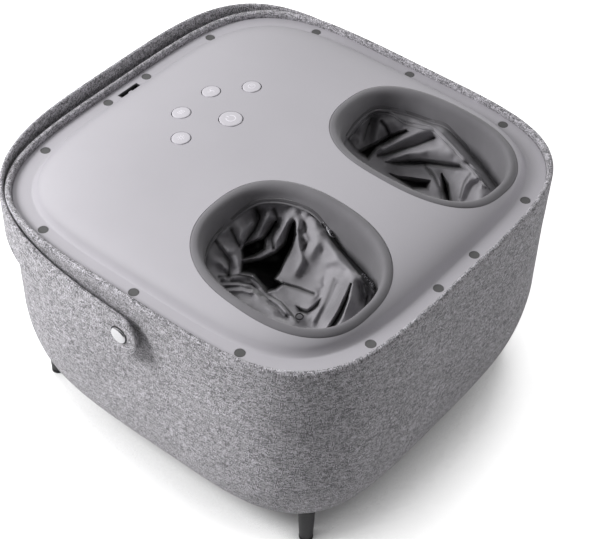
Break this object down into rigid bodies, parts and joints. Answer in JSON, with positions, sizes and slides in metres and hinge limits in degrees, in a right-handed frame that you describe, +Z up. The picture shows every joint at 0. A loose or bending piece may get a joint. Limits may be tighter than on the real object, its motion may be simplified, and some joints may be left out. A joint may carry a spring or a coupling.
{
  "type": "foot massager",
  "caption": "Fabric covered cube-shaped foot massager on short legs, with two cloth-lined foot holes in a crowned panel, push buttons and a swinging carry handle.",
  "frame": {"origin": "on the floor, under the middle of the whole object's bounding box; the body's own middle is 7.65 mm towards -Y, because the carry handle stands out at +Y", "axes": "+Z up; +X to the user's right; +Y from the heels towards the toes, so the user sits at -Y and the carry handle lies round the +Y side"},
  "size_m": [0.482, 0.4698, 0.3114],
  "materials": {
    "tweed_fabric": "woven melange upholstery in light grey",
    "silver_plastic": "satin silver-grey moulding",
    "collar": "soft matt grey elastomer",
    "liner_cloth": "satin woven lining cloth",
    "button": "satin silver with a bright edge",
    "magnet": "dark grey coating",
    "chrome": "polished",
    "black_plastic": "fine grained black moulding",
    "rubber": "matt black",
    "circuit_board": "green solder mask",
    "airbag": "coated airtight cloth",
    "steel": "zinc-plated",
    "roller": "grey moulding"
  },
  "bodies": {
    "base": {"tub_shell": "black_plastic", "fabric_cover": "tweed_fabric", "bottom_cover": "black_plastic", "leg_front_left": "black_plastic", "leg_front_right": "black_plastic", "leg_back_left": "black_plastic", "leg_back_right": "black_plastic", "foot_pad_front_left": "rubber", "foot_pad_front_right": "rubber", "foot_pad_back_left": "rubber", "foot_pad_back_right": "rubber", "top_panel": "silver_plastic", "magnet_01": "magnet", "magnet_02": "magnet", "magnet_03": "magnet", "magnet_04": "magnet", "magnet_05": "magnet", "magnet_06": "magnet", "magnet_07": "magnet", "magnet_08": "magnet", "magnet_09": "magnet", "magnet_10": "magnet", "magnet_11": "magnet", "magnet_12": "magnet", "magnet_13": "magnet", "magnet_14": "magnet", "latch_socket": "black_plastic", "control_board": "circuit_board", "collar_left": "collar", "collar_right": "collar", "foot_well_left": "black_plastic", "foot_well_right": "black_plastic", "liner_left": "liner_cloth", "liner_right": "liner_cloth", "airbag_left": "airbag", "airbag_right": "airbag", "drive_frame": "steel", "link_belt": "rubber", "drive_belt": "rubber", "motor": "steel", "air_pump": "black_plastic", "valve_block": "roller", "power_board": "circuit_board", "power_inlet": "black_plastic", "handle_stud_left": "chrome", "handle_stud_right": "chrome"},
    "handle": {"carry_handle": "tweed_fabric"},
    "power_key": {"power_button": "button"},
    "left_outer_key": {"left_outer_button": "button"},
    "left_inner_key": {"left_inner_button": "button"},
    "right_inner_key": {"right_inner_button": "button"},
    "right_outer_key": {"right_outer_button": "button"},
    "heel_shaft": {"heel_roller": "roller"},
    "toe_shaft": {"toe_roller": "roller"},
    "motor_output": {"motor_pulley": "roller"}
  },
  "joints": [
    {"name": "handle_swing", "type": "hinge", "parent": "base", "child": "handle", "pos_m": [0, -0.00765, 0.2356], "axis": [1, 0, 0], "range_deg": [-12, 184]},
    {"name": "power_press", "type": "slide", "parent": "base", "child": "power_key", "axis": [0, 0.0254, 0.9997], "range_m": [-0.0015, 0], "stiffness_N_per_m": 400, "springref_m": 0.001},
    {"name": "left_outer_press", "type": "slide", "parent": "base", "child": "left_outer_key", "axis": [-0.0095, 0.0436, 0.999], "range_m": [-0.0015, 0], "stiffness_N_per_m": 400, "springref_m": 0.001},
    {"name": "left_inner_press", "type": "slide", "parent": "base", "child": "left_inner_key", "axis": [-0.0005, 0.0891, 0.996], "range_m": [-0.0015, 0], "stiffness_N_per_m": 400, "springref_m": 0.001},
    {"name": "right_inner_press", "type": "slide", "parent": "base", "child": "right_inner_key", "axis": [0.0005, 0.0891, 0.996], "range_m": [-0.0015, 0], "stiffness_N_per_m": 400, "springref_m": 0.001},
    {"name": "right_outer_press", "type": "slide", "parent": "base", "child": "right_outer_key", "axis": [0.0095, 0.0436, 0.999], "range_m": [-0.0015, 0], "stiffness_N_per_m": 400, "springref_m": 0.001},
    {"name": "heel_roller_spin", "type": "hinge", "parent": "base", "child": "heel_shaft", "pos_m": [0, -0.13265, 0.075], "axis": [1, 0, 0], "continuous": true},
    {"name": "toe_roller_spin", "type": "hinge", "parent": "base", "child": "toe_shaft", "pos_m": [0, 0.02735, 0.075], "axis": [1, 0, 0], "continuous": true},
    {"name": "motor_pulley_spin", "type": "hinge", "parent": "base", "child": "motor_output", "pos_m": [0.014, -0.05265, 0.128], "axis": [1, 0, 0], "continuous": true}
  ],
  "couplings": [
    {"joint": "toe_roller_spin", "follows": "heel_roller_spin", "ratio": 1},
    {"joint": "motor_pulley_spin", "follows": "heel_roller_spin", "ratio": 2.8571}
  ]
}
